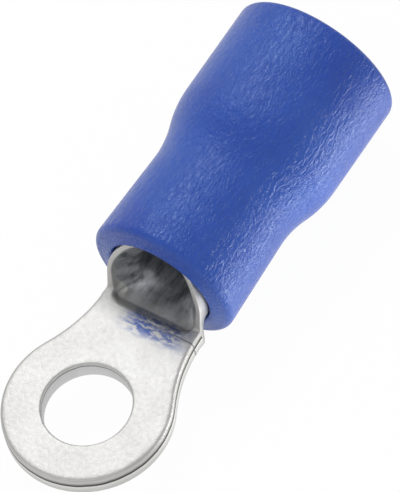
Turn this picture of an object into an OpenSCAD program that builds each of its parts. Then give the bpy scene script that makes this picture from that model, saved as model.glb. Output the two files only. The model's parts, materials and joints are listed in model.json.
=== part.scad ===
// Insulated ring terminal for a 1.5 to 2.5 mm2 wire and an M3 stud.
// One stamped and rolled piece of tinned copper sheet, and a moulded vinyl sleeve on its barrel.
// The origin is the middle of the stud hole, on the top face of the tongue. +X runs along the
// barrel to the wire end, and +Z is up. Millimetres.

/* [Ring tongue] */
// Thickness of the copper sheet
sheet_t = 0.8; // [0.6:0.05:1]
// Width of the ring across the stud hole
ring_d = 6.1; // [5.6:0.1:8]
// Diameter of the stud hole
stud_hole_d = 3.2; // [2.6:0.1:3.6]
// Width of the neck between the ring and the barrel
neck_w = 3.95; // [3.5:0.05:4]
// Radius of the concave corners where the ring runs into the neck
neck_corner_r = 5.8; // [4.8:0.1:6.4]
// Straight length of the neck from those corners to the foot of the mouth
neck_straight = 0.08; // [0.02:0.02:3]

/* [Mouth of the barrel] */
// Length of neck whose face dips before the walls of the barrel stand up on it
dip_len = 0.5; // [0.3:0.05:1]
// Bare length of the barrel in front of the sleeve, along its floor
mouth_show = 0.6; // [0.4:0.05:1]
// How far the open mouth leans back, from its foot to its top
mouth_lean = 0.68; // [0.4:0.02:0.8]
// Thickness of the walls at the edge of the mouth, where they are pressed thinner
mouth_wall = 0.4; // [0.3:0.02:0.6]
// Length over which the mouth narrows inside to the bore
mouth_flare = 1.3; // [1:0.05:1.8]
// Radius of the outer corner under the walls
foot_r = 0.35; // [0.2:0.05:0.5]

/* [Barrel] */
// Length of the barrel
barrel_len = 5.4; // [4.5:0.1:7]
// Inside diameter of the barrel
barrel_bore_d = 2.3; // [2.2:0.05:2.6]
// Height of the barrel's axis above the tongue's top face
barrel_rise = 0.77; // [0.4:0.01:1]
// Width of the butt seam along the top of the barrel, at the middle of the sheet
seam_gap = 0.08; // [0.04:0.01:0.2]
// Grooves pressed round the inside of the barrel to grip the wire
groove_count = 3; // [0:1:3]
// Distance from one groove to the next
groove_pitch = 0.9; // [0.6:0.05:1.1]
// Width of a groove
groove_w = 0.3; // [0.2:0.05:0.4]
// Depth of a groove
groove_depth = 0.08; // [0.04:0.01:0.12]
// Chamfer inside the wire end of the barrel
wire_chamfer = 0.2; // [0.1:0.05:0.3]

/* [Sleeve] */
// Length of the sleeve
sleeve_len = 10.35; // [9:0.05:13]
// Outer diameter at the front of the narrow part
grip_front_d = 5.62; // [5.3:0.02:6]
// Outer diameter at the back of the narrow part
grip_back_d = 5.36; // [5.2:0.02:5.8]
// Distance from the sleeve's front to the start of the shoulder
shoulder_at = 3.85; // [3.2:0.05:5]
// Length of the S-curved shoulder
shoulder_len = 2.7; // [2:0.05:3.4]
// Outer diameter of the wire entry
entry_d = 6.28; // [6:0.02:7]
// Swell of the wire entry's radius at its middle
entry_swell = 0.02; // [0:0.01:0.06]
// Inside diameter of the wire entry
entry_bore_d = 4.7; // [4.4:0.05:5]
// Length of the cone inside, from the wire entry down to the barrel
funnel_len = 1.4; // [0.8:0.1:2]
// Play between the barrel and the sleeve pushed on it, all round
sleeve_play = 0.04; // [0.02:0.01:0.08]
// Play between the end of the barrel and the cone
funnel_play = 0.2; // [0.1:0.05:0.5]
// How far the front face bulges forward round its hole
front_bulge = 0.1; // [0.05:0.01:0.2]
// Rounding of the front edge
front_edge_r = 0.28; // [0.1:0.02:0.36]
// Rounding of the wire entry's outer edge
entry_edge_r = 0.22; // [0.1:0.02:0.3]
// Rounding of the edges of both holes
hole_edge_r = 0.12; // [0.06:0.02:0.16]

/* [Hidden] */
$fn = 96;

ring_r = ring_d / 2;
neck_half = neck_w / 2;
bore_r = barrel_bore_d / 2;
barrel_r = bore_r + sheet_t;
mid_r = bore_r + sheet_t / 2;
// Half the angle that the seam takes out of the barrel
seam_half = degrees(seam_gap / 2 / mid_r);

// Middle of a concave neck corner, which touches the ring and the neck's straight side
corner_y = neck_half + neck_corner_r;
corner_x = sqrt(pow(ring_r + neck_corner_r, 2) - pow(corner_y, 2));
// Where that corner leaves the ring
corner_share = ring_r / (ring_r + neck_corner_r);
corner_start = [corner_x, corner_y] * corner_share;

// Places along X: the neck dips, the walls stand up, the sleeve starts on a barrel that is round
barrel_x = corner_x + neck_straight;
dip_x = barrel_x - dip_len;
sleeve_x = barrel_x + mouth_show;
barrel_end_x = barrel_x + barrel_len;
flare_x = barrel_x + mouth_flare;
barrel_top = barrel_rise + barrel_r;
// How far the neck's face has dipped where the walls stand up
foot_dip = 0.15 * (sheet_t + barrel_r - barrel_rise);

// Steps of the shaped sheet: across the neck, up each wall, along the dip and along the mouth
floor_steps = 30;
wall_steps = 20;
dip_steps = 4;
mouth_steps = 10;
columns = floor_steps + 2 * wall_steps;
mouth_row = dip_steps + 1;
rows = mouth_row + mouth_steps + 1;

// The first row is tucked a little way inside the neck, and the last inside the barrel's wall
tuck_len = 0.2;
tuck_depth = 0.02;
neck_end_x = dip_x - tuck_len / 2;
round_x = flare_x + tuck_len / 2;

// Turn of the sleeve about its axis, so that a meshed copy lies on a facet and not on an edge
lie_turn = 180 / 56;

function degrees(rad) = rad * 180 / PI;
function smooth(u) = u * u * (3 - 2 * u);
function blend(a, b, k) = a * (1 - k) + b * k;
function arc(x, y, r, from, to, steps = 8) =
    [for (i = [0:steps]) let (a = blend(from, to, i / steps)) [x + r * cos(a), y + r * sin(a)]];

// Half of a cross section is drawn from v = 0 in the middle of its floor. Its corner is from 0.6
// to 0.8, it passes the height of the tongue's face at 1 and the barrel's axis at 1.2, and it
// ends at the seam at 2. Each function gives [across, up].
function part_way(v, from, to) = max(0, min(1, (v - from) / (to - from)));

// Half the width of the sheet at x, from the corner to the barrel
function half_at(x) =
    x < corner_x ? corner_y - sqrt(pow(neck_corner_r, 2) - pow(corner_x - x, 2)) : neck_half;

// The neck: a plain strip of sheet, whose outer line also runs up its edge
function neck_outer(v) = [
    blend(blend(0, neck_half - foot_r, part_way(v, 0, 0.6)), neck_half, part_way(v, 0.6, 0.7)),
    blend(blend(-sheet_t, foot_r - sheet_t, part_way(v, 0.7, 0.8)), 0, part_way(v, 0.8, 1))
];
function neck_inner(v) = [(neck_half - mouth_wall) * min(1, v), 0];

// The mouth: a flat floor, upright walls and a round top
function mouth_section(v, half, floor_z, corner, top) =
    let (
        turn = 90 * part_way(v, 0.6, 0.8),
        rise = v < 1 ? blend(floor_z + corner, 0, part_way(v, 0.8, 1))
            : blend(0, barrel_rise, part_way(v, 1, 1.2)),
        over = (90 - seam_half) * part_way(v, 1.2, 2)
    )
    v < 0.8 ? [blend(0, half - corner, part_way(v, 0, 0.6)) + corner * sin(turn),
               floor_z + corner * (1 - cos(turn))]
    : [blend(half, top * cos(over), part_way(v, 0.8, 1.2)), rise + top * sin(over)];
function mouth_outer(v) = mouth_section(v, neck_half, -sheet_t - foot_dip, foot_r, barrel_r);
function mouth_inner(v) =
    mouth_section(v, neck_half - mouth_wall, -foot_dip, foot_dip / 2, barrel_r - mouth_wall);

// The round barrel
foot_angle = acos(barrel_rise / barrel_r);
function round_angle(v) =
    v < 1 ? foot_angle * v
    : v < 1.2 ? blend(foot_angle, 90, part_way(v, 1, 1.2))
    : blend(90, 180 - seam_half, part_way(v, 1.2, 2));
function round_section(v, r) =
    let (a = round_angle(v)) [r * sin(a), barrel_rise - r * cos(a)];

// Place v of column j of the sheet, below 0 on the side of -Y
function column_v(j) =
    let (k = abs(j - columns / 2), side = j < columns / 2 ? -1 : 1)
    side * (k <= floor_steps / 2 ? k / (floor_steps / 2) : 1 + (k - floor_steps / 2) / wall_steps);

// A point of the sheet at row i and column j, on its inner face (side -1) or outer face (side 1)
function sheet_point(i, j, side) =
    let (
        v = abs(column_v(j)),
        in_dip = i < mouth_row,
        tucked_front = i == 0,
        tucked = i == rows,
        u = in_dip ? max(0, (i - 1) / dip_steps) : min(1, (i - mouth_row) / mouth_steps),
        neck_line = side > 0 ? neck_outer(v) : neck_inner(v),
        inset = tucked_front ? tuck_depth : 0,
        neck = [neck_line[0] * (1 - inset / neck_half),
                blend(neck_line[1], -sheet_t / 2, 2 * inset / sheet_t)],
        mouth = side > 0 ? mouth_outer(v) : mouth_inner(v),
        wall_r = side > 0 ? barrel_r - (tucked ? tuck_depth : 0) : bore_r + (tucked ? tuck_depth : 0),
        tube = round_section(v * (tucked ? 1 - tuck_depth : 1), wall_r),
        floor_x = in_dip ? blend(dip_x, barrel_x, u) : blend(barrel_x, flare_x, u),
        lean = in_dip ? 0 : mouth_lean * max(0, mouth[1]) / barrel_top * (1 - u),
        x = floor_x + lean + (tucked ? tuck_len : tucked_front ? -tuck_len : 0),
        k = side > 0 ? part_way(x, barrel_x, sleeve_x) : part_way(x, barrel_x + lean, flare_x),
        at = in_dip ? blend(neck, mouth, smooth(u)) : blend(mouth, tube, smooth(k)),
        wide = in_dip ? half_at(x) / neck_half : 1
    )
    [x, (j < columns / 2 ? -1 : 1) * wide * at[0], at[1]];

// The dip is only as wide as the neck
function has_cell(i, j) =
    i >= 0 && i < rows && j >= 0 && j < columns
    && (i >= mouth_row || (j >= wall_steps && j < wall_steps + floor_steps));
function corner_index(i, j, layer) = (i * (columns + 1) + j) * 2 + layer;
// Two triangles on the corners a, b, c and d
function quad(a, b, c, d) = [[a, b, c], [a, c, d]];
// An edge wall of the sheet from corner (i, j) to corner (k, l)
function edge_quad(i, j, k, l) =
    quad(corner_index(i, j, 0), corner_index(i, j, 1), corner_index(k, l, 1), corner_index(k, l, 0));

// The shaped sheet from the neck to the round barrel
module curl() {
    points = [
        for (i = [0:rows], j = [0:columns], side = [-1, 1]) sheet_point(i, j, side)
    ];
    faces = [
        for (i = [0:rows - 1], j = [0:columns - 1])
            if (has_cell(i, j))
                each concat(
                    quad(corner_index(i, j, 0), corner_index(i, j + 1, 0),
                         corner_index(i + 1, j + 1, 0), corner_index(i + 1, j, 0)),
                    quad(corner_index(i, j, 1), corner_index(i + 1, j, 1),
                         corner_index(i + 1, j + 1, 1), corner_index(i, j + 1, 1)),
                    has_cell(i - 1, j) ? [] : edge_quad(i, j, i, j + 1),
                    has_cell(i, j + 1) ? [] : edge_quad(i, j + 1, i + 1, j + 1),
                    has_cell(i + 1, j) ? [] : edge_quad(i + 1, j + 1, i + 1, j),
                    has_cell(i, j - 1) ? [] : edge_quad(i + 1, j, i, j)
                )
    ];
    polyhedron(points, faces, convexity = 6);
}

module tongue_outline() {
    circle(ring_r);
    difference() {
        translate([0, -corner_start[1]])
            square([min(corner_x, neck_end_x), 2 * corner_start[1]]);
        for (side = [-1, 1]) translate([corner_x, side * corner_y]) circle(neck_corner_r);
    }
    translate([0, -neck_half]) square([neck_end_x, neck_w]);
}

module tongue() {
    difference() {
        translate([0, 0, -sheet_t]) linear_extrude(sheet_t) tongue_outline();
        translate([0, 0, -2 * sheet_t]) cylinder(d = stud_hole_d, h = 3 * sheet_t);
    }
}

// Half section of the rolled barrel: radius out from the axis, and length along it
module barrel_section() {
    length = barrel_end_x - round_x;
    difference() {
        polygon([
            [bore_r, 0], [barrel_r, 0], [barrel_r, length],
            [bore_r + wire_chamfer, length], [bore_r, length - wire_chamfer]
        ]);
        for (i = [0:1:groove_count - 1])
            translate([bore_r - groove_depth, groove_pitch * (i + 0.5)])
                square([2 * groove_depth, groove_w]);
    }
}

module barrel() {
    translate([round_x, 0, barrel_rise])
        rotate([0, 90, 0])
            rotate([0, 0, 180 + seam_half])
                rotate_extrude(angle = 360 - 2 * seam_half) barrel_section();
}

module terminal() {
    color([0.86, 0.86, 0.84]) {
        tongue();
        curl();
        barrel();
    }
}

// Half section of the sleeve: length along the axis, and radius out from it
function sleeve_outline() =
    let (
        hole_r = barrel_r + sleeve_play,
        front_r = grip_front_d / 2,
        back_r = grip_back_d / 2,
        entry_r = entry_d / 2,
        entry_bore_r = entry_bore_d / 2,
        shoulder_end = shoulder_at + shoulder_len,
        // Two equal arcs make the S of the shoulder
        shoulder_rise = entry_r - back_r,
        shoulder_arc_r = (pow(shoulder_len, 2) + pow(shoulder_rise, 2)) / (4 * shoulder_rise),
        shoulder_turn = asin(shoulder_len / 2 / shoulder_arc_r),
        swell_len = sleeve_len - entry_edge_r - shoulder_end,
        cone_start = barrel_end_x + funnel_play - sleeve_x
    )
    concat(
        arc(hole_edge_r, hole_r + hole_edge_r, hole_edge_r, 270, 180),
        arc(front_bulge + front_edge_r, front_r - front_edge_r, front_edge_r, 180, 90),
        arc(shoulder_at, back_r + shoulder_arc_r, shoulder_arc_r, 270, 270 + shoulder_turn),
        arc(shoulder_end, entry_r - shoulder_arc_r, shoulder_arc_r, 90 + shoulder_turn, 90),
        [for (i = [1:7]) let (u = i / 8)
            [shoulder_end + swell_len * u, entry_r + entry_swell * 4 * u * (1 - u)]],
        arc(sleeve_len - entry_edge_r, entry_r - entry_edge_r, entry_edge_r, 90, 0),
        arc(sleeve_len - hole_edge_r, entry_bore_r + hole_edge_r, hole_edge_r, 0, -90),
        [[cone_start + funnel_len, entry_bore_r], [cone_start, hole_r]]
    );

module sleeve() {
    color([0.2, 0.33, 0.68])
        translate([sleeve_x, 0, barrel_rise])
            rotate([0, 90, 0])
                rotate([0, 0, lie_turn])
                    rotate_extrude() polygon([for (p = sleeve_outline()) [p[1], p[0]]]);
}

terminal();
sleeve();
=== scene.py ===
"""Looks of an insulated ring terminal: the tin plated sheet metal, and its vinyl sleeve.

Each piece is a mesh worked out here in millimetres, in the CAD's own frame: the origin is the
middle of the stud hole on the tongue's top face, +X runs to the wire end and +Z is up.
"""

import json
import math

import bpy
import numpy as np
from mathutils import Matrix, Vector


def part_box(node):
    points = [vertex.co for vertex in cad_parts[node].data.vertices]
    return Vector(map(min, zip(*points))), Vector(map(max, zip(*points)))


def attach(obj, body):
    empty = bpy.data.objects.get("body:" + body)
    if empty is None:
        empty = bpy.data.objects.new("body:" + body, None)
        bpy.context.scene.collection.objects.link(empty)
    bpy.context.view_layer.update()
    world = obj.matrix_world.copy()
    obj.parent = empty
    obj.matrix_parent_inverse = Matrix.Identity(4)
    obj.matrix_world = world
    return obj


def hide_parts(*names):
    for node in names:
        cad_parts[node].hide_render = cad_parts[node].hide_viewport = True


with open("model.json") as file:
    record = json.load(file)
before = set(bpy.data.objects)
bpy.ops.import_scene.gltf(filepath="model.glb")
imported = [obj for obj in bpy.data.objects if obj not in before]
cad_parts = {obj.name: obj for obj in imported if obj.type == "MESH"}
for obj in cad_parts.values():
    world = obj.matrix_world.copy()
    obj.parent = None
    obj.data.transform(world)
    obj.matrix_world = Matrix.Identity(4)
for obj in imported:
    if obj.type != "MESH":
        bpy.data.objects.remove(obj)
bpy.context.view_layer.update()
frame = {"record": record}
MM = 0.001

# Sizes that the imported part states
mounts = {m["name"]: m["dims"] for m in frame["record"]["mounts"]}
metal_low, metal_high = [np.array(p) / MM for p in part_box("terminal")]
sleeve_low, sleeve_high = [np.array(p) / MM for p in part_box("sleeve")]
RING_R = -metal_low[0]
HOLE_R = mounts["stud_hole"]["r_mm"]
SHEET = mounts["stud_hole"]["length_mm"]
BORE_R = mounts["wire_barrel"]["r_mm"]
ENTRY_BORE_R = mounts["wire_entry"]["r_mm"]
BARREL_END = metal_high[0]
SLEEVE_X, SLEEVE_END = sleeve_low[0], sleeve_high[0]
AXIS_Z = (sleeve_low[2] + sleeve_high[2]) / 2
ENTRY_R = (sleeve_high[2] - sleeve_low[2]) / 2
FLOOR_Z = min(metal_low[2], sleeve_low[2])

# Sizes of the sheet metal
NECK_HALF = 1.975
# Concave corner between the ring and the neck, and the straight stretch after it
CORNER_R = 5.8
NECK_STRAIGHT = 0.08
# The neck dips over this length, by this share of the way down to the barrel's lowest line
DIP_LEN = 0.5
DIP_SHARE = 0.15
# How far the top of the mouth leans back, and the length over which the mouth becomes a tube
MOUTH_LEAN = 0.68
MOUTH_FLARE = 1.3
MOUTH_WALL = 0.4
# Near its top the rim is thinner, and is drawn back into the sleeve
RIM_WALL = 0.2
RIM_TUCK = 0.22
FOOT_R = 0.35
SEAM_GAP = 0.08

BARREL_R = BORE_R + SHEET
SEAM_HALF = SEAM_GAP / 2 / (BORE_R + SHEET / 2)
CORNER_Y = NECK_HALF + CORNER_R
CORNER_X = math.sqrt((RING_R + CORNER_R) ** 2 - CORNER_Y ** 2)
BARREL_X = CORNER_X + NECK_STRAIGHT
DIP_X = BARREL_X - DIP_LEN
FLARE_X = BARREL_X + MOUTH_FLARE
FOOT_DIP = DIP_SHARE * (SHEET + BARREL_R - AXIS_Z)
FOOT_ANGLE = math.acos(AXIS_Z / BARREL_R)
TINY = 1e-9


def smooth(u):
    u = np.clip(u, 0, 1)
    return u * u * (3 - 2 * u)


def mix(a, b, k):
    return a * (1 - k) + b * k


def part_way(v, start, end):
    return np.clip((v - start) / (end - start), 0, 1)


def steps(*marks):
    """A rising list of places: each mark is (start, end, count)."""
    return np.unique(np.round(np.concatenate([np.linspace(a, b, n + 1) for a, b, n in marks]), 9))


# ---------------------------------------------------------------- the shaped sheet metal
# Half of a cross section runs from v = 0 in the middle of its floor to the seam. On the way it
# turns its corner, and passes the height of the tongue's face and then that of the axis.
BEND_V, FOOT_V, BENT_V, FACE_V, AXIS_V, SEAM_V = 0.6, 0.7, 0.8, 1, 1.2, 2
# From where the rim is drawn back, and over how much of v that grows
TUCK_V, TUCK_OVER = 1.35, 0.4


def neck_section(v, outer):
    if not outer:
        return (NECK_HALF - MOUTH_WALL) * np.minimum(1, v), 0 * v
    to_foot = mix(0, NECK_HALF - FOOT_R, part_way(v, 0, BEND_V))
    to_wall = mix(-SHEET, FOOT_R - SHEET, part_way(v, FOOT_V, BENT_V))
    return (mix(to_foot, NECK_HALF, part_way(v, BEND_V, FOOT_V)),
            mix(to_wall, 0, part_way(v, BENT_V, FACE_V)))


def mouth_section(v, outer):
    half, top = (NECK_HALF, BARREL_R) if outer else (NECK_HALF - MOUTH_WALL, BARREL_R - RIM_WALL)
    floor, corner = (-SHEET - FOOT_DIP, FOOT_R) if outer else (-FOOT_DIP, FOOT_DIP / 2)
    turn = math.pi / 2 * part_way(v, BEND_V, BENT_V)
    over = (math.pi / 2 - SEAM_HALF) * part_way(v, AXIS_V, SEAM_V)
    rise = np.where(v < FACE_V, mix(floor + corner, 0, part_way(v, BENT_V, FACE_V)),
                    mix(0, AXIS_Z, part_way(v, FACE_V, AXIS_V)))
    low = v < BENT_V
    along_floor = mix(0, half - corner, part_way(v, 0, BEND_V))
    across = np.where(low, along_floor + corner * np.sin(turn),
                      mix(half, top * np.cos(over), part_way(v, BENT_V, AXIS_V)))
    return across, np.where(low, floor + corner * (1 - np.cos(turn)), rise + top * np.sin(over))


def round_section(v, outer):
    to_axis = mix(FOOT_ANGLE, math.pi / 2, part_way(v, FACE_V, AXIS_V))
    to_seam = mix(math.pi / 2, math.pi - SEAM_HALF, part_way(v, AXIS_V, SEAM_V))
    a = np.where(v < FACE_V, FOOT_ANGLE * v, np.where(v < AXIS_V, to_axis, to_seam))
    r = BARREL_R if outer else BORE_R
    return r * np.sin(a), AXIS_Z - r * np.cos(a)


def half_at(x):
    """Half the width of the sheet at x, from the ring's concave corners to the straight neck."""
    bend = CORNER_Y - np.sqrt(CORNER_R ** 2 - np.clip(CORNER_X - x, 0, CORNER_R) ** 2)
    return np.where(x < CORNER_X, bend, NECK_HALF)


def sheet_point(floor_x, v, outer):
    """A point of the sheet's inner or outer face, from where its row meets the floor and from v."""
    side, v = np.where(v < 0, -1, 1), np.abs(v)
    neck, mouth, tube = (f(v, outer) for f in (neck_section, mouth_section, round_section))
    in_dip = floor_x < BARREL_X
    u = np.clip((floor_x - BARREL_X) / MOUTH_FLARE, 0, 1)
    lean = MOUTH_LEAN * np.maximum(0, mouth[1]) / (AXIS_Z + BARREL_R)
    lean = (lean + RIM_TUCK * smooth((v - TUCK_V) / TUCK_OVER)) * (1 - u)
    x = floor_x + np.where(in_dip, 0, lean)
    k = part_way(x, BARREL_X, SLEEVE_X) if outer else part_way(x, BARREL_X + lean, FLARE_X)
    dip, k = smooth((floor_x - DIP_X) / DIP_LEN), smooth(k)
    across, up = [np.where(in_dip, mix(n, m, dip), mix(m, t, k))
                  for n, m, t in zip(neck, mouth, tube)]
    wide = np.where(in_dip, half_at(x) / NECK_HALF, 1)
    return np.stack(np.broadcast_arrays(x, side * wide * across, up), -1)


class Surface:
    """Faces whose corners merge where they meet."""

    def __init__(self):
        self.index, self.points, self.faces = {}, [], []

    def point(self, p):
        # Cells of 0.1 micrometre, set off so that no plain number falls on the edge of a cell
        key = tuple(math.floor(c * 10000 + 0.137) for c in p)
        if key not in self.index:
            self.index[key] = len(self.points)
            self.points.append(tuple(p))
        return self.index[key]

    def face(self, *ids):
        ids = tuple(dict.fromkeys(ids))
        if len(ids) > 2:
            self.faces.append(ids)

    def grid(self, rows, flip=False):
        ids = [[self.point(p) for p in row] for row in rows]
        for a, b in zip(ids[:-1], ids[1:]):
            for j in range(len(a) - 1):
                quad = (a[j], a[j + 1], b[j + 1], b[j])
                self.face(*(quad[::-1] if flip else quad))

    def zipper(self, inner, outer, flip=False):
        """Triangles between two closed loops round the origin, each in the order of its angle."""
        loops = []
        for loop in (inner, outer):
            angle = [math.atan2(p[1], p[0]) for p in loop]
            first = angle.index(min(angle))
            order = list(range(first, len(loop))) + list(range(first))
            turns = [angle[k] for k in order]
            loops.append(([self.point(loop[k]) for k in order], turns + [turns[0] + 2 * math.pi]))
        (a, turn_a), (b, turn_b) = loops
        i = j = 0
        while i < len(a) or j < len(b):
            if j == len(b) or (i < len(a) and turn_a[i + 1] <= turn_b[j + 1]):
                tri = (a[i % len(a)], b[j % len(b)], a[(i + 1) % len(a)])
                i += 1
            else:
                tri = (a[i % len(a)], b[j % len(b)], b[(j + 1) % len(b)])
                j += 1
            self.face(*(tri[::-1] if flip else tri))


# Places across half a section, up to the tongue's face and from there to the seam
LOW_V = steps((0, BEND_V, 14), (BEND_V, FOOT_V, 12), (FOOT_V, BENT_V, 12), (BENT_V, FACE_V, 16))
HIGH_V = steps((FACE_V, AXIS_V, 16), (AXIS_V, SEAM_V - 0.04, 40), (SEAM_V - 0.04, SEAM_V, 5))
FLOOR_V = np.concatenate([-LOW_V[::-1], LOW_V[1:]])
WHOLE_V = np.concatenate([-HIGH_V[::-1], FLOOR_V[1:-1], HIGH_V])
# Shares of the way from the sheet's inner face to its outer face
THROUGH = np.linspace(0, 1, 17)


def add_curl(surface):
    """The dip of the neck, the mouth and the barrel."""
    dip_rows = steps((DIP_X, BARREL_X, 20))
    tube_rows = steps((BARREL_X, BARREL_X + 0.2, 8), (BARREL_X + 0.2, FLARE_X, 14),
                      (FLARE_X, BARREL_END - 0.15, 26), (BARREL_END - 0.15, BARREL_END, 6))

    def face_rows(rows, columns, outer):
        return [sheet_point(x, columns, outer) for x in rows]

    def wall(x, v):
        inner, outer = (sheet_point(np.array(x), np.array(v), o) for o in (False, True))
        return [mix(inner, outer, k) for k in THROUGH]

    surface.grid(face_rows(dip_rows, FLOOR_V, False), flip=True)
    surface.grid(face_rows(dip_rows, FLOOR_V, True))
    surface.grid(face_rows(tube_rows, WHOLE_V, False), flip=True)
    surface.grid(face_rows(tube_rows, WHOLE_V, True))
    for side in (-1, 1):
        surface.grid([wall(x, side * FACE_V) for x in dip_rows], flip=side > 0)
        surface.grid([wall(BARREL_X, side * v) for v in HIGH_V], flip=side > 0)
        surface.grid([wall(x, side * SEAM_V) for x in tube_rows], flip=side > 0)
    surface.grid([wall(BARREL_END, v) for v in WHOLE_V])


def outline():
    """The tongue's outline from the neck's +Y edge round the ring, with its inward normals."""
    start = CORNER_Y - half_at(DIP_X)
    angle = math.atan2(CORNER_Y, CORNER_X)
    pts, normals = [], []
    for a in np.linspace(math.atan2(-start, DIP_X - CORNER_X), angle - math.pi, 30)[:-1]:
        n = np.array([math.cos(a), math.sin(a)])
        pts.append((CORNER_X + CORNER_R * n[0], CORNER_Y + CORNER_R * n[1]))
        normals.append(n)
    for a in np.linspace(angle, math.pi, 90):
        n = -np.array([math.cos(a), math.sin(a)])
        pts.append((-RING_R * n[0], -RING_R * n[1]))
        normals.append(n)
    # The first point is exactly the end of the dip's first row
    pts[0], normals[0] = (DIP_X, float(half_at(DIP_X))), np.array([0.0, -1.0])
    pts, normals = np.array(pts), np.array(normals)
    flip = np.array([1, -1])
    return (np.concatenate([pts, pts[-2::-1] * flip]),
            np.concatenate([normals, normals[-2::-1] * flip]))


def level(flat, z):
    return np.column_stack([flat, np.full(len(flat), float(z))])


def add_tongue(surface):
    """The flat ring: a band along its outline, its hole, and what lies between."""
    fine_band, hole_band = 0.312, 0.4
    pts, normals = outline()
    half = half_at(DIP_X)
    rim_z = neck_section(LOW_V, True)[1][LOW_V > FOOT_V - TINY][::-1]
    top_in = half / NECK_HALF * MOUTH_WALL * THROUGH
    under = LOW_V[(LOW_V > BEND_V - TINY) & (LOW_V < FOOT_V + TINY)][::-1]
    under_in = half * (1 - neck_section(under, True)[0] / NECK_HALF)
    surface.grid([level(pts + normals * d, 0) for d in top_in])
    surface.grid([level(pts + normals * d, -SHEET) for d in under_in], flip=True)
    surface.grid([level(pts, z) for z in rim_z], flip=True)

    turn = np.linspace(-math.pi, math.pi, 161)
    ring = np.column_stack([np.cos(turn), np.sin(turn)])
    hole_in = steps((0, fine_band, 12), (fine_band, hole_band, 1))
    hole_z = steps((-SHEET, 0, 30))
    surface.grid([level(ring * (HOLE_R + d), 0) for d in hole_in], flip=True)
    surface.grid([level(ring * (HOLE_R + d), -SHEET) for d in hole_in])
    surface.grid([level(ring * HOLE_R, z) for z in hole_z], flip=True)

    inside = ring[:-1] * (HOLE_R + hole_band)
    for z, outer, band, width in ((0, False, top_in, FACE_V), (-SHEET, True, under_in, BEND_V)):
        middle = FLOOR_V[np.abs(FLOOR_V) < width - TINY]
        closing = sheet_point(np.full(len(middle), DIP_X), middle, outer)[:, :2]
        loop = np.concatenate([pts + normals * band[-1], closing])
        surface.zipper(level(inside, z), level(loop, z), flip=z < 0)


def soften(points, faces, rounds_at):
    """Round the sharp edges of a closed mesh by letting the points near them settle."""
    # Faces whose normals have less than this in common meet in a sharp edge
    sharp_below = 0.87
    ease = 0.5
    sides = {}
    normals = []
    for f, ids in enumerate(faces):
        p = points[list(ids)]
        n = sum(np.cross(p[k] - p[0], p[k + 1] - p[0]) for k in range(1, len(ids) - 1))
        normals.append(n / max(np.linalg.norm(n), 1e-12))
        for a, b in zip(ids, ids[1:] + ids[:1]):
            sides.setdefault((min(a, b), max(a, b)), []).append(f)
    sharp = [e for e, f in sides.items()
             if len(f) != 2 or normals[f[0]] @ normals[f[1]] < sharp_below]
    corners = points[np.unique(np.array(sharp))]
    near = np.empty(len(points))
    block = 1000
    for i in range(0, len(points), block):
        gap = points[i:i + block, None, :] - corners[None]
        near[i:i + block] = np.sqrt((gap ** 2).sum(2).min(1))
    rounds = rounds_at(points, near)
    a, b = np.array(list(sides)).T
    w = 1 / np.maximum(np.linalg.norm(points[a] - points[b], axis=1), 1e-4)
    total = np.bincount(a, w, len(points)) + np.bincount(b, w, len(points))
    out = points.copy()
    for k in range(int(rounds.max())):
        live = rounds > k
        for c in range(3):
            pull = (np.bincount(a, w * out[b, c], len(points))
                    + np.bincount(b, w * out[a, c], len(points))) / total
            out[live, c] += ease * (pull[live] - out[live, c])
    return out


def metal_rounds(points, near):
    """How softly each edge of the sheet is rounded: most round the tongue's upper edge."""
    upper_edge, lower_edge, hole_edge, barrel_edge = 56, 6, 16, 14
    wide_reach, close_reach = 0.55, 0.2
    hole_zone, upper_z, mouth_x = HOLE_R + 0.4, -0.5, DIP_X + 0.2
    x, z = points[:, 0], points[:, 2]
    in_hole = np.hypot(x, points[:, 1]) < hole_zone
    upper = z > upper_z
    count = np.where(upper, np.where(in_hole, hole_edge, upper_edge), lower_edge)
    count = np.where(x > mouth_x, barrel_edge, count)
    reach = np.where(upper & (x < DIP_X) & ~in_hole, wide_reach, close_reach)
    return np.where(near < reach, count, 0)


def metal_mesh():
    surface = Surface()
    add_curl(surface)
    add_tongue(surface)
    points = np.array(surface.points)
    return soften(points, surface.faces, metal_rounds), surface.faces


# ---------------------------------------------------------------- the sleeve

def arc(x, r, radius, start, end, count=10):
    a = np.radians(np.linspace(start, end, count + 1))
    return np.stack([x + radius * np.cos(a), r + radius * np.sin(a)], -1)


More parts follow.
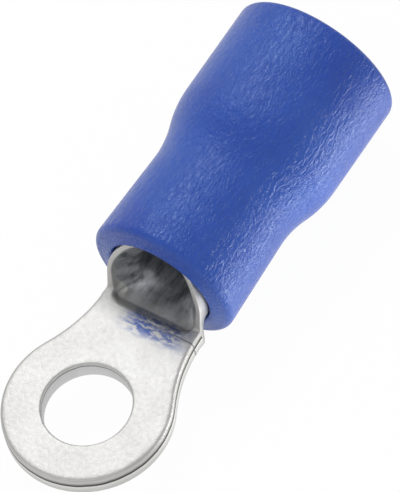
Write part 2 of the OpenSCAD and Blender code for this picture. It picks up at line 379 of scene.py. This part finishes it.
def sleeve_profile():
    """Half section of the sleeve, closed: x along the axis from its front, and radius."""
    grip_front_r, grip_back_r = 2.81, 2.68
    barrel_fit, entry_swell = 0.04, 0.01
    hole_round, front_round, entry_round = 0.12, 0.28, 0.22
    bulge, shoulder_x, shoulder_len = 0.1, 3.85, 2.7
    cone_gap, cone_len = 0.2, 1.4
    finest = 0.09
    hole_r = BARREL_R + barrel_fit
    sleeve_len = SLEEVE_END - SLEEVE_X
    entry_r = ENTRY_R - entry_swell
    # Two equal arcs make the S of the shoulder
    rise = entry_r - grip_back_r
    bend_r = (shoulder_len ** 2 + rise ** 2) / (4 * rise)
    turn = math.degrees(math.asin(shoulder_len / 2 / bend_r))
    cone_x = BARREL_END + cone_gap - SLEEVE_X
    corners = np.concatenate([
        arc(hole_round, hole_r + hole_round, hole_round, 270, 180),
        arc(bulge + front_round, grip_front_r - front_round, front_round, 180, 90),
        arc(shoulder_x, grip_back_r + bend_r, bend_r, 270, 270 + turn, 16),
        arc(shoulder_x + shoulder_len, entry_r - bend_r, bend_r, 90 + turn, 90, 16),
        arc(sleeve_len - entry_round, entry_r - entry_round, entry_round, 90, 0),
        arc(sleeve_len - hole_round, ENTRY_BORE_R + hole_round, hole_round, 0, -90),
        np.array([[cone_x + cone_len, ENTRY_BORE_R], [cone_x, hole_r]]),
    ])
    out = []
    for p, q in zip(corners, np.roll(corners, -1, 0)):
        gap = np.linalg.norm(q - p)
        n = max(1, int(gap / finest)) if gap > 1e-6 else 0
        out += [mix(p, q, k / n) for k in range(n)]
    return np.array(out)


def sleeve_mesh():
    profile = sleeve_profile()
    rows, around = len(profile), 256
    a = np.linspace(0, 2 * math.pi, around, endpoint=False)
    x = SLEEVE_X + profile[:, 0][:, None] + 0 * a
    y = profile[:, 1][:, None] * np.sin(a)
    z = AXIS_Z + profile[:, 1][:, None] * np.cos(a)
    verts = np.stack([x, y, z], -1).reshape(-1, 3)
    faces = []
    for i in range(rows):
        k = (i + 1) % rows
        for j in range(around):
            m = (j + 1) % around
            faces.append((i * around + j, i * around + m, k * around + m, k * around + j))
    return verts, faces


# ---------------------------------------------------------------- materials

def grey(value):
    return value, value, value


class Shader:
    """Short ways to add nodes to one material."""

    def __init__(self, name):
        self.material = bpy.data.materials.new(name)
        self.material.use_nodes = True
        self.tree = self.material.node_tree
        self.surface = self.tree.nodes["Principled BSDF"]
        where = self.tree.nodes.new("ShaderNodeTexCoord")
        self.place, self.facing = where.outputs["Object"], where.outputs["Normal"]

    def link(self, a, b):
        self.tree.links.new(a, b)

    def node(self, kind, **settings):
        n = self.tree.nodes.new("ShaderNode" + kind)
        for key, value in settings.items():
            setattr(n, key, value)
        return n

    def scaled(self, x, y, z):
        n = self.node("Mapping")
        n.inputs["Scale"].default_value = (x, y, z)
        self.link(self.place, n.inputs["Vector"])
        return n.outputs["Vector"]

    def noise(self, where, scale, detail=4, roughness=0.55, distortion=0.0):
        n = self.node("TexNoise")
        n.inputs["Scale"].default_value = scale
        n.inputs["Detail"].default_value = detail
        n.inputs["Roughness"].default_value = roughness
        n.inputs["Distortion"].default_value = distortion
        self.link(where, n.inputs["Vector"])
        return n.outputs["Fac"]

    def ramp(self, value, *stops):
        n = self.node("ValToRGB")
        while len(n.color_ramp.elements) < len(stops):
            n.color_ramp.elements.new(0.5)
        for e, (at, colour) in zip(n.color_ramp.elements, stops):
            e.position, e.color = at, (*colour, 1)
        self.link(value, n.inputs["Fac"])
        return n.outputs["Color"]

    def to_range(self, value, low, high, start=0, end=1):
        """From low to high while the value goes from start to end."""
        n = self.node("MapRange")
        for name, limit in (("From Min", start), ("From Max", end), ("To Min", low), ("To Max", high)):
            n.inputs[name].default_value = limit
        self.link(value, n.inputs["Value"])
        return n.outputs["Result"]

    def near(self, value, middle, full, none):
        """1 where the value is within full of the middle, and 0 from none on."""
        return self.to_range(self.size_of(self.add(value, -middle)), 1, 0, full, none)

    def math(self, operation, a, b=None):
        n = self.node("Math", operation=operation)
        for socket, value in zip(n.inputs, (a, b)):
            if isinstance(value, bpy.types.NodeSocket):
                self.link(value, socket)
            elif value is not None:
                socket.default_value = value
        return n.outputs[0]

    def add(self, a, b):
        return self.math("ADD", a, b)

    def times(self, a, b):
        return self.math("MULTIPLY", a, b)

    def below(self, a, b):
        return self.math("LESS_THAN", a, b)

    def size_of(self, a):
        return self.math("ABSOLUTE", a)

    def split(self, vector):
        n = self.node("SeparateXYZ")
        self.link(vector, n.inputs[0])
        return n.outputs

    def blend(self, share, a, b):
        n = self.node("Mix", data_type="RGBA")
        for name, value in (("Factor", share), ("A", a), ("B", b)):
            socket = [k for k in n.inputs if k.name == name and k.enabled][0]
            self.link(value, socket)
        return [k for k in n.outputs if k.enabled][0]

    def bump(self, height, distance, under=None):
        n = self.node("Bump")
        n.inputs["Strength"].default_value = 1.0
        n.inputs["Distance"].default_value = distance
        self.link(height, n.inputs["Height"])
        if under is not None:
            self.link(under, n.inputs["Normal"])
        return n.outputs["Normal"]


def edge_colour_with_painted_lines(m, x, y, z):
    """The sheared edges: sheared metal and torn metal below it, with a painted shade line and a
    painted highlight line between them; the hole's wall has a painted shade line near its top.
    """
    wander = m.to_range(m.noise(m.scaled(1, 1, 0.2), 1500, 3), -0.06, 0.06)
    depth = m.add(m.times(z, -1 / SHEET), wander)
    # Grey sheared and torn metal, with a near-black painted shade line at 0.36 to 0.47 of the depth
    # and a bright painted highlight line at 0.53
    cut = m.ramp(depth, (0.0, (0.52, 0.51, 0.49)), (0.22, (0.58, 0.575, 0.56)),
                 (0.36, (0.22, 0.215, 0.20)), (0.41, (0.055, 0.05, 0.045)),
                 (0.47, (0.07, 0.065, 0.06)), (0.53, (0.80, 0.80, 0.78)),
                 (0.66, (0.66, 0.66, 0.64)), (1.0, (0.56, 0.56, 0.55)))
    # The hole's wall, with a dark painted shade line near its top
    punched = m.ramp(depth, (0.10, (0.62, 0.62, 0.61)), (0.19, grey(0.16)),
                     (0.26, grey(0.60)), (1.0, grey(0.66)))
    in_hole = m.below(m.add(m.times(x, x), m.times(y, y)), (HOLE_R + 0.3) ** 2)
    return m.blend(in_hole, cut, punched)


def on_edge(m, x):
    """1 on the tongue's upright walls."""
    is_wall = m.to_range(m.size_of(m.split(m.facing)[2]), 1, 0, 0.25, 0.7)
    return m.times(is_wall, m.below(x, BARREL_X - 0.02))


def in_mouth(m, x, y, z):
    """Rises from 0 in front of the mouth to 1 inside it, within its rims and walls only."""
    within = BARREL_R - RIM_WALL - 0.05
    up = m.add(z, -AXIS_Z)
    from_axis = m.add(m.times(y, y), m.times(up, up))
    return m.times(m.to_range(x, 0, 1, DIP_X + 0.3, SLEEVE_X + 0.1), m.below(from_axis, within ** 2))


def blue_patches(m, x, y):
    """Blue patches across the neck's top face, near where it dips."""
    smear = m.to_range(m.noise(m.scaled(1, 0.4, 1), 6500, 5, 0.65, 0.5), 0, 1, 0.40, 0.55)
    close = m.times(m.near(x, DIP_X - 0.09, 0.3, 0.68), m.near(y, -0.5, 0.75, 1.5))
    upward = m.math("GREATER_THAN", m.split(m.facing)[2], 0.5)
    return m.times(close, m.times(smear, upward))


def crease_shade_line(m, x, y):
    """A line of painted shade across the neck, where a crease would be in shade, darker towards -Y."""
    line = m.near(x, DIP_X - 0.06, 0.015, 0.045)
    return m.times(line, m.to_range(y, 0.05, 0.8, 1.5, -1.8))


def tin_plate():
    m = Shader("tin_plate")
    s = m.surface
    s.inputs["Metallic"].default_value = 1.0
    x, y, z = [m.times(c, 1 / MM) for c in m.split(m.place)]
    patches = m.noise(m.place, 700, 4)
    face = m.ramp(patches, (0.35, (0.53, 0.525, 0.513)), (0.65, (0.585, 0.582, 0.57)))
    # Painted shade: mottled dark grey for the metal inside the mouth and barrel, where the bore is in
    # shade
    bore_shade = m.ramp(m.noise(m.scaled(0.4, 1, 1), 2600, 4, 0.6),
                  (0.35, (0.17, 0.175, 0.185)), (0.65, (0.56, 0.58, 0.61)))
    blue = m.ramp(patches, (0.4, (0.10, 0.15, 0.38)), (0.6, (0.20, 0.24, 0.42)))
    # Dark grey for the painted shade line of a crease across the neck
    dark = m.ramp(patches, (0, (0.12, 0.12, 0.14)), (1, (0.2, 0.2, 0.22)))
    colour = m.blend(on_edge(m, x), face, edge_colour_with_painted_lines(m, x, y, z))
    # The painted bore shade goes inside the mouth and barrel
    colour = m.blend(in_mouth(m, x, y, z), colour, bore_shade)
    colour = m.blend(blue_patches(m, x, y), colour, blue)
    # Painted crease shade across the neck
    colour = m.blend(crease_shade_line(m, x, y), colour, dark)
    m.link(colour, s.inputs["Base Color"])
    # Rougher where the neck dips
    at_dip = m.near(x, DIP_X + 0.3, 0.2, 0.9)
    fine = m.noise(m.place, 6000, 5, 0.6)
    m.link(m.add(m.to_range(fine, 0.48, 0.6), m.times(at_dip, 0.1)), s.inputs["Roughness"])
    waves = m.bump(m.noise(m.place, 1500, 4, 0.6), 0.000015)
    m.link(m.bump(fine, 0.00001, under=waves), s.inputs["Normal"])
    return m.material


def blue_vinyl():
    m = Shader("blue_vinyl")
    s = m.surface
    tone = m.noise(m.place, 260, 4)
    m.link(m.ramp(tone, (0.3, (0.015, 0.056, 0.37)), (0.7, (0.026, 0.092, 0.45))),
           s.inputs["Base Color"])
    s.inputs["IOR"].default_value = 1.47
    s.inputs["Specular Tint"].default_value = (0.82, 0.97, 1, 1)
    swirl = m.noise(m.place, 900, 2)
    m.link(m.to_range(swirl, 0.2, 0.3), s.inputs["Roughness"])
    # Fine wrinkles that run along the moulding, with others across them, and a fine grain
    crossing = m.noise(m.place, 5200, 2, 0.5, 0.6)
    streaks = m.noise(m.scaled(0.4, 1, 1), 7500, 3, 0.55, 0.9)
    grain = m.noise(m.place, 16000, 3, 0.6)
    n = m.bump(crossing, 0.00003)
    n = m.bump(streaks, 0.00006, under=n)
    m.link(m.bump(grain, 0.00001, under=n), s.inputs["Normal"])
    return m.material


# ---------------------------------------------------------------- pieces

def make_object(name, verts, faces, material):
    mesh = bpy.data.meshes.new(name)
    mesh.from_pydata([tuple(v) for v in verts * MM], [], faces)
    mesh.validate()
    mesh.update()
    mesh.shade_smooth()
    obj = bpy.data.objects.new(name, mesh)
    bpy.context.scene.collection.objects.link(obj)
    mesh.materials.append(material)
    return obj


metal = make_object("plated_terminal", *metal_mesh(), tin_plate())
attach(metal, "root")
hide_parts("terminal")
cover = make_object("vinyl_sleeve", *sleeve_mesh(), blue_vinyl())
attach(cover, "root")
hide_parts("sleeve")


# ---------------------------------------------------------------- stage, light and camera

def white_floor():
    """Matt white that keeps the object's shadow, and is white to the camera and in reflections."""
    m = Shader("white_floor")
    m.surface.inputs["Base Color"].default_value = (0.9, 0.9, 0.9, 1)
    m.surface.inputs["Roughness"].default_value = 0.9
    seen = m.node("LightPath")
    seen_by = m.math("MAXIMUM", seen.outputs["Is Camera Ray"], seen.outputs["Is Glossy Ray"])
    seen_by = m.math("MAXIMUM", seen_by, seen.outputs["Is Transmission Ray"])
    glow = m.node("Emission")
    glow.inputs["Color"].default_value = (1, 1, 1, 1)
    glow.inputs["Strength"].default_value = 1.0
    both = m.node("MixShader")
    m.link(m.times(seen_by, 0.97), both.inputs[0])
    m.link(m.surface.outputs[0], both.inputs[1])
    m.link(glow.outputs[0], both.inputs[2])
    m.link(both.outputs[0], m.tree.nodes["Material Output"].inputs["Surface"])
    return m.material


def stage_floor():
    size, z = 0.6, FLOOR_Z * MM
    mesh = bpy.data.meshes.new("floor")
    mesh.from_pydata([(-size, -size, z), (size, -size, z), (size, size, z), (-size, size, z)],
                     [], [(0, 1, 2, 3)])
    mesh.materials.append(white_floor())
    floor = bpy.data.objects.new("floor", mesh)
    bpy.context.scene.collection.objects.link(floor)


def direction(azimuth, elevation):
    az, el = math.radians(azimuth), math.radians(elevation)
    return Vector((math.cos(el) * math.cos(az), math.cos(el) * math.sin(az), math.sin(el)))


def soft_lamp(name, aim, azimuth, elevation, distance, wide, high, power):
    """A soft box that looks at aim, in millimetres, from that direction."""
    way = direction(azimuth, elevation)
    light = bpy.data.lights.new(name, "AREA")
    light.shape = "RECTANGLE"
    light.size, light.size_y = wide * MM, high * MM
    light.energy = power
    lamp = bpy.data.objects.new(name, light)
    bpy.context.scene.collection.objects.link(lamp)
    lamp.matrix_world = (Matrix.Translation((Vector(aim) + way * distance) * MM)
                         @ way.to_track_quat("Z", "Y").to_matrix().to_4x4())
    lamp.visible_camera = False


def studio():
    world = bpy.data.worlds.new("studio")
    bpy.context.scene.world = world
    world.use_nodes = True
    back = world.node_tree.nodes["Background"]
    back.inputs["Color"].default_value = (1, 1, 1, 1)
    back.inputs["Strength"].default_value = 0.64
    aim, away = (6, 0, 0.8), 160
    for name, azimuth, elevation, wide, high, power in (
            ("key", 44, 58, 50, 36, 0.082),
            ("ridge", -158, 40, 14, 14, 0.012),
            ("front", 162, 20, 60, 40, 0.012)):
        soft_lamp(name, aim, azimuth, elevation, away, wide, high, power)
    # A strip of light lies by the -Y side, and shines up at the flank of the sleeve
    soft_lamp("strip", (10, -7.2, FLOOR_Z + 0.5), 0, -90, 0.4, 16, 1.5, 0.0009)


def camera():
    """The view of the object: where it looks from, and how far it is turned and set aside."""
    back, roll = direction(-133.62, 58.122), math.radians(-15.952)
    distance, aside, above, focal = 254.0, 3.909, 5.444, 539.9
    level_way = Vector((0, 0, 1)).cross(back).normalized()
    rise = back.cross(level_way)
    right = math.cos(roll) * level_way + math.sin(roll) * rise
    up = -math.sin(roll) * level_way + math.cos(roll) * rise
    cam = bpy.data.objects.new("camera", bpy.data.cameras.new("camera"))
    bpy.context.scene.collection.objects.link(cam)
    place = (right * aside + up * above + back * distance) * MM
    turn = Matrix((right, up, back)).transposed().to_4x4()
    cam.matrix_world = Matrix.Translation(place) @ turn
    cam.data.sensor_width = 36
    cam.data.lens = focal
    cam.data.clip_start = 0.01
    cam.data.clip_end = 10
    bpy.context.scene.camera = cam


stage_floor()
studio()
camera()
bpy.context.scene.view_settings.view_transform = "Standard"
